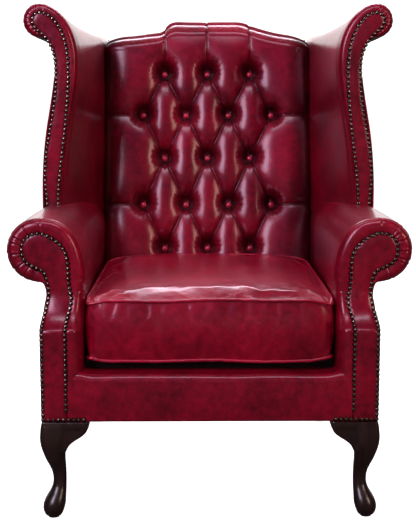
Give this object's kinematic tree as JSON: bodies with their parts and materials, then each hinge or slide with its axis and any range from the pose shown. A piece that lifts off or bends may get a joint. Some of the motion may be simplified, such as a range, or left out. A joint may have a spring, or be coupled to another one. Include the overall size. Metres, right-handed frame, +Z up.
{
  "type": "armchair",
  "caption": "High-backed winged armchair with scroll arms, deep-buttoned raked back, loose boxed seat cushion with a zip, studded facings and cabriole front legs.",
  "frame": {"origin": "on the floor below the middle of the whole chair's box", "axes": "+Z up, the chair faces -Y, +X to the viewer's right"},
  "size_m": [0.826, 0.8189, 1.067],
  "materials": {
    "leather": "aniline-like oxblood leather, soft gloss",
    "piping": "oxblood leather cord piping",
    "panel": "oxblood leather over card",
    "leg_wood": "dark mahogany, satin polish",
    "frame_wood": "raw beech",
    "plywood": "raw plywood",
    "nail": "antiqued, bright worn centres and dark rims",
    "spring_steel": "plain drawn wire",
    "bolt_steel": "zinc plated",
    "webbing": "woven elastic strap",
    "deck": "seat deck, covered pad",
    "foam": "cushion foam in its wadding",
    "dust_cloth": "black non-woven cloth",
    "glide": "brown nylon",
    "zip_tape": "woven tape and coil teeth",
    "zip_metal": "antiqued"
  },
  "bodies": {
    "chair": {"arm_facing_left": "leather", "arm_facing_right": "leather", "arm_nails_left": "nail", "arm_nails_right": "nail", "arm_pad_left": "leather", "arm_pad_right": "leather", "arm_post_left": "frame_wood", "arm_post_right": "frame_wood", "arm_rail_left": "frame_wood", "arm_rail_right": "frame_wood", "arm_scroll_board_left": "plywood", "arm_scroll_board_right": "plywood", "back_buttons": "leather", "back_pad": "leather", "back_post_left": "frame_wood", "back_post_right": "frame_wood", "back_seat_rail": "frame_wood", "back_webbing": "webbing", "corner_blocks": "frame_wood", "crest_rail": "frame_wood", "dust_cover": "dust_cloth", "front_border": "leather", "front_leg_left": "leg_wood", "front_leg_right": "leg_wood", "front_seat_rail": "frame_wood", "leg_bolts": "bolt_steel", "leg_glides": "glide", "lower_back_rail": "frame_wood", "outside_arm_left": "panel", "outside_arm_right": "panel", "outside_back": "panel", "outside_wing_left": "panel", "outside_wing_right": "panel", "rear_leg_left": "leg_wood", "rear_leg_right": "leg_wood", "seat_platform": "deck", "seat_springs": "spring_steel", "side_seat_rail_left": "frame_wood", "side_seat_rail_right": "frame_wood", "spring_clips": "spring_steel", "wing_facing_left": "leather", "wing_facing_right": "leather", "wing_nails_left": "nail", "wing_nails_right": "nail", "wing_pad_left": "leather", "wing_pad_right": "leather", "wing_post_left": "plywood", "wing_post_right": "plywood", "wing_rail_left": "frame_wood", "wing_rail_right": "frame_wood"},
    "cushion": {"cushion_core": "foam", "cushion_cover": "leather", "cushion_piping": "piping", "cushion_zip": "zip_tape"},
    "zip_slider": {"zip_slider": "zip_metal"}
  },
  "joints": [
    {"name": "cushion_lift", "type": "slide", "parent": "chair", "child": "cushion", "axis": [0, 0, 1], "range_m": [0, 0.32]},
    {"name": "zip_slide", "type": "slide", "parent": "cushion", "child": "zip_slider", "axis": [1, 0, 0], "range_m": [0, 0.358]}
  ]
}
